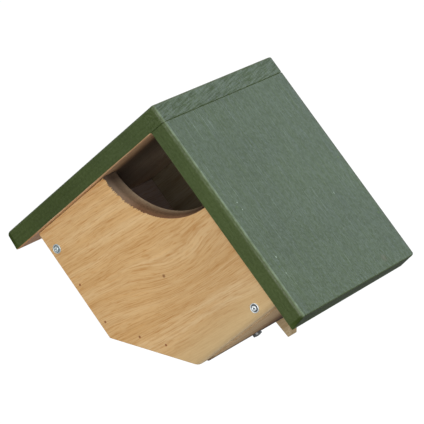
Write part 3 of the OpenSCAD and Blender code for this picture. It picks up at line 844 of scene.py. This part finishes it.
alongRoof = [house["entranceRadius"] + brad["entranceToBrad"], wallLine - brad["cornerToBrad"]]
roofTops = [apex + along * downRight + roofThick * outRight for along in alongRoof]
for side, word in ((-1, "left"), (1, "right")):
    for y, end in (((panelFront + panelRear) / 2, "front"), ((backLow[1] + backHigh[1]) / 2, "rear")):
        bradRow(f"{word}_roof_{end}_brads", [(side * p[0], y, p[1]) for p in roofTops],
                (side * sinSlope, 0, cosSlope), paintedBrad)
ridgeSeat = (apex + lapEnd) / 2 + roofThick * outRight * flip
ridgeDepths = np.linspace(roofFront + brad["ridgeEnd"], roofRear - brad["ridgeEnd"], brad["ridgeCount"])
bradRow("ridge_brads", [(ridgeSeat[0], y, ridgeSeat[1]) for y in ridgeDepths], (-sinSlope, 0, cosSlope), paintedBrad)
wallBrads = [(footCorner - brad["wallInset"] * edgeOut + along * edgeUp) * flip for along in brad["wallAlong"]]
floorHeight = nodeSpan("floor_board")[0][2] + brad["floorRise"]
floorBrads = [(-brad["floorX"], floorHeight), (brad["floorX"], floorHeight)]
for word, group in (("left_wall", wallBrads), ("floor", floorBrads)):
    bradRow(f"{word}_front_brads", [(p[0], panelFront, p[1]) for p in group], (0, -1, 0), rustyBrad)
    bradRow(f"{word}_rear_brads", [(p[0], backHigh[1] - brad["sunk"], p[1]) for p in group], (0, 1, 0), rustyBrad)
print("screws and brads ready")

# chipped paint: thin flakes of primer on the right slope, each a ring of uneven radii stretched down the slope
flakes = {
    "rise": 0.12,
    "steps": 14,
    "seed": 3,
    "ragged": (0.6, 1.15),  # shares of the radius
    "places": ((76.0, -138.9, 0.5, 1.3), (82.3, -138.5, 0.4, 1.2), (123.7, -139.0, 0.5, 1.9),
               (137.1, -140.4, 0.5, 1.3), (102.0, -37.6, 0.35, 2.6)),  # down the slope, in depth, radius, stretch
}
flakeRng = np.random.default_rng(flakes["seed"])
steps = flakes["steps"]
flakeAngle = np.linspace(0, 2 * np.pi, steps, endpoint=False)
spots = np.array(flakes["places"])
ragged = spots[:, 2:3] * flakeRng.uniform(*flakes["ragged"], (len(spots), steps))
down = spots[:, :1] + ragged * spots[:, 3:] * np.cos(flakeAngle)
across = spots[:, 1:2] + ragged * np.sin(flakeAngle)
low = apex[None, None] + down[..., None] * downRight + roofThick * outRight
high = low + flakes["rise"] * outRight
flakePoints = np.stack([np.stack([p[..., 0], across, p[..., 1]], -1) for p in (high, low)], 1)  # flake, rim, step
flakeStarts = 2 * steps * np.arange(len(spots))
flakeFaces = [face for start in flakeStarts for face in ringFaces(2, steps, start)]
flakeFaces += [(start + np.arange(steps)).tolist() for start in flakeStarts]
flakeFaces += [(start + 2 * steps - 1 - np.arange(steps)).tolist() for start in flakeStarts]
meshPiece("paint_chips", flakePoints.reshape(-1, 3), flakeFaces, flakeTone)
print("paint chips ready")

# camera, at the photograph's fitted view
view = {
    "azimuth": 34.136,
    "elevation": 20.712,
    "roll": 1.353,
    "distance": 1606.5,
    "focalPixels": 2276.0,
    "framePixels": 424,
    "sensor": 36,
    "clip": (0.05, 50),  # metres
    "aim": (54.13, roofFront, ridge - 47.26),
}
azimuth, elevation, roll = (math.radians(view[key]) for key in ("azimuth", "elevation", "roll"))
backward = Vector((math.sin(azimuth) * math.cos(elevation), -math.cos(azimuth) * math.cos(elevation),
                   math.sin(elevation)))
level = (-backward).cross(Vector((0, 0, 1))).normalized()
upright = level.cross(-backward)
rightward = math.cos(roll) * level + math.sin(roll) * upright
upward = -math.sin(roll) * level + math.cos(roll) * upright
cameraData = bpy.data.cameras.new("camera")
cameraData.sensor_width = view["sensor"]
cameraData.lens = view["focalPixels"] / view["framePixels"] * view["sensor"]
cameraData.clip_start, cameraData.clip_end = view["clip"]
camera = addObject("camera", cameraData)
eye = Matrix.Translation((Vector(view["aim"]) + backward * view["distance"]) * mm)
camera.matrix_world = eye @ Matrix([rightward, upward, backward]).transposed().to_4x4()
scene.camera = camera

# stage: a floor well below the hanging box, white to the eye and a plain grey to the light, and white surroundings
stage = {
    "floorDrop": 0.45,  # metres
    "floorHalf": 6.0,
    "floorTone": "808080",
    "floorRoughness": 0.9,
    "floorGlow": 0.84,
    "mirrorGlow": 0.1,
    "ambient": 0.62,
    "glossySky": 1.0,
}
white = (1, 1, 1, 1)


# what the eye sees, straight or through glass, and what it sees mirrored
def seenAndMirrored(add):
    path = add("LightPath").outputs
    seen = add("Math", links={0: path["Is Camera Ray"], 1: path["Is Transmission Ray"]}, operation="MAXIMUM")
    return seen, path["Is Glossy Ray"]


floorMesh = bpy.data.meshes.new("studio_floor")
half, low = stage["floorHalf"], cadBox[0].z - stage["floorDrop"]
floorMesh.from_pydata([(-half, -half, low), (half, -half, low), (half, half, low), (-half, half, low)], [],
                      [(0, 1, 2, 3)])
floor = addObject("studio_floor", floorMesh)
floorMaterial, add, shader = newMaterial("matt_studio_floor")
shader.inputs["Base Color"].default_value = toLinear(stage["floorTone"])
shader.inputs["Roughness"].default_value = stage["floorRoughness"]
shader.inputs["Emission Color"].default_value = white
seen, mirrored = seenAndMirrored(add)
glow = add("Math", {1: stage["floorGlow"]}, {0: seen}, operation="MULTIPLY")
glow = add("Math", {1: stage["mirrorGlow"]}, {0: mirrored, 2: glow}, operation="MULTIPLY_ADD")
connect(shader, {"Emission Strength": glow})
floorMesh.materials.append(floorMaterial)

world = bpy.data.worlds.new("white_surroundings")
scene.world = world
world.use_nodes = True
background = world.node_tree.nodes["Background"]
add = partial(addNode, world.node_tree)
seen, mirrored = seenAndMirrored(add)
glow = add("Math", {1: stage["glossySky"]}, {0: mirrored, 2: seen}, operation="MULTIPLY_ADD")
connect(background, {"Strength": add("Math", {1: stage["ambient"]}, {0: glow}, operation="MAXIMUM")})
background.inputs["Color"].default_value = white

lamps = {
    "key": {"place": (1.05, -1.98, 0.5), "size": 1.5, "power": 34.5, "tone": "FFFFFF"},
    "sky": {"place": (0.75, 1.5, 1.15), "size": 1.6, "power": 20.0, "tone": "C2DCF8"},
}
lampAim = Vector((0, -0.08, -0.04))
for name, lamp in lamps.items():
    data = bpy.data.lights.new(name + "_lamp", "AREA")
    data.size, data.energy, data.color = lamp["size"], lamp["power"], toLinear(lamp["tone"])[:3]
    light = addObject(name + "_lamp", data)
    light.location = lamp["place"]
    light.rotation_mode = "QUATERNION"
    light.rotation_quaternion = (lampAim - Vector(lamp["place"])).to_track_quat("-Z", "Y")
    light.visible_camera = False
scene.view_settings.view_transform = "Standard"
print("stage ready")
